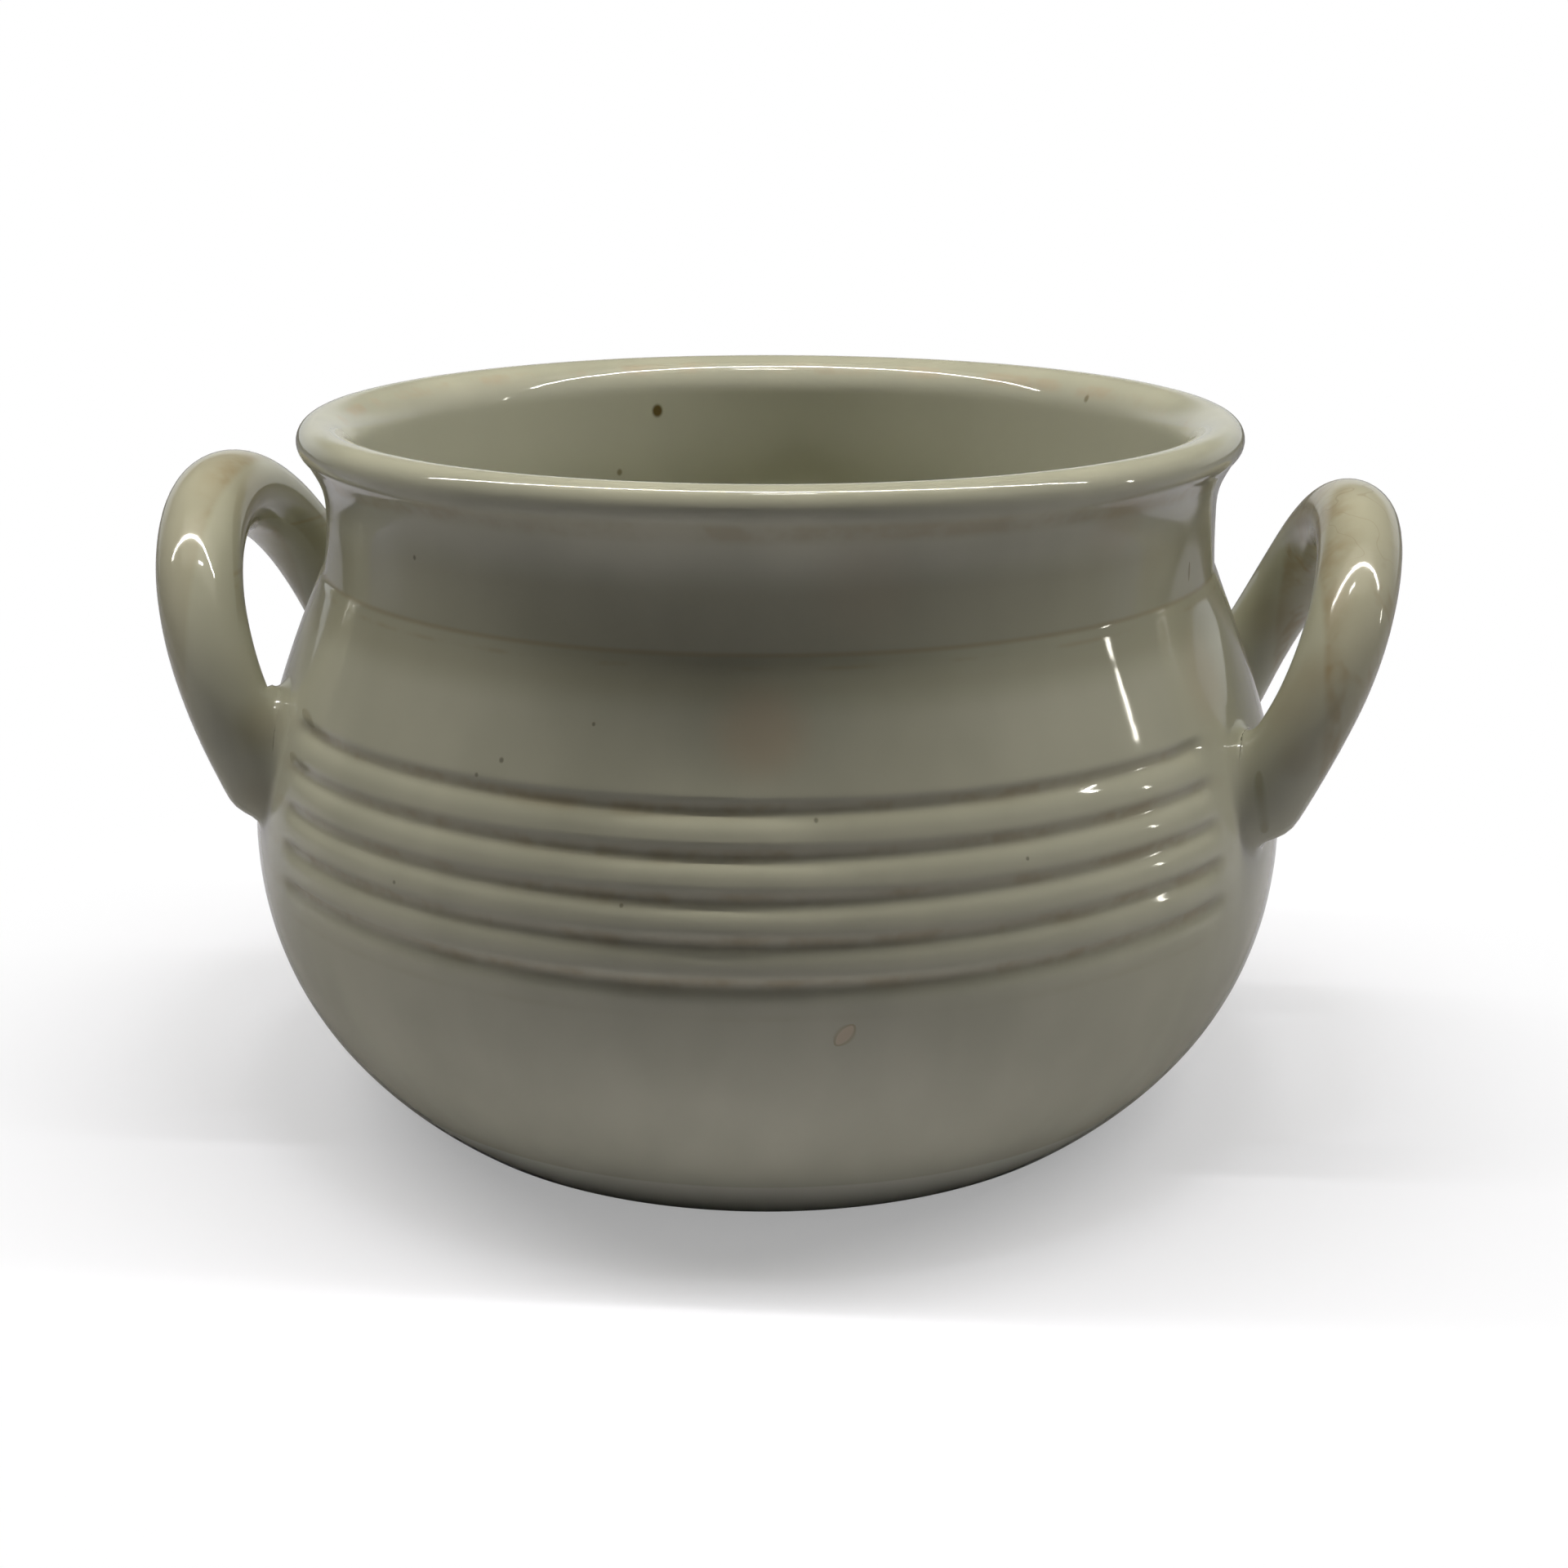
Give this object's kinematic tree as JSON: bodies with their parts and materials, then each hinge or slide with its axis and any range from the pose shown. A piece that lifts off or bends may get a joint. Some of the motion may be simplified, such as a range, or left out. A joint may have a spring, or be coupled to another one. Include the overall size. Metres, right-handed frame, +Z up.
{
  "type": "stoneware jar",
  "caption": "Round glazed stoneware jar with a wide mouth, rolled lip, tooled band and an upright coil handle on each side.",
  "frame": {"origin": "middle of the base, on the surface that the jar stands on", "axes": "+X out through one handle, -Y out through the front, +Z up through the mouth"},
  "size_m": [0.1972, 0.1678, 0.1115],
  "materials": {
    "glaze": "glossy off-white glaze with a faint grey-green cast, browner where it is thin"
  },
  "bodies": {
    "root": {"jar": "glaze"}
  },
  "joints": []
}
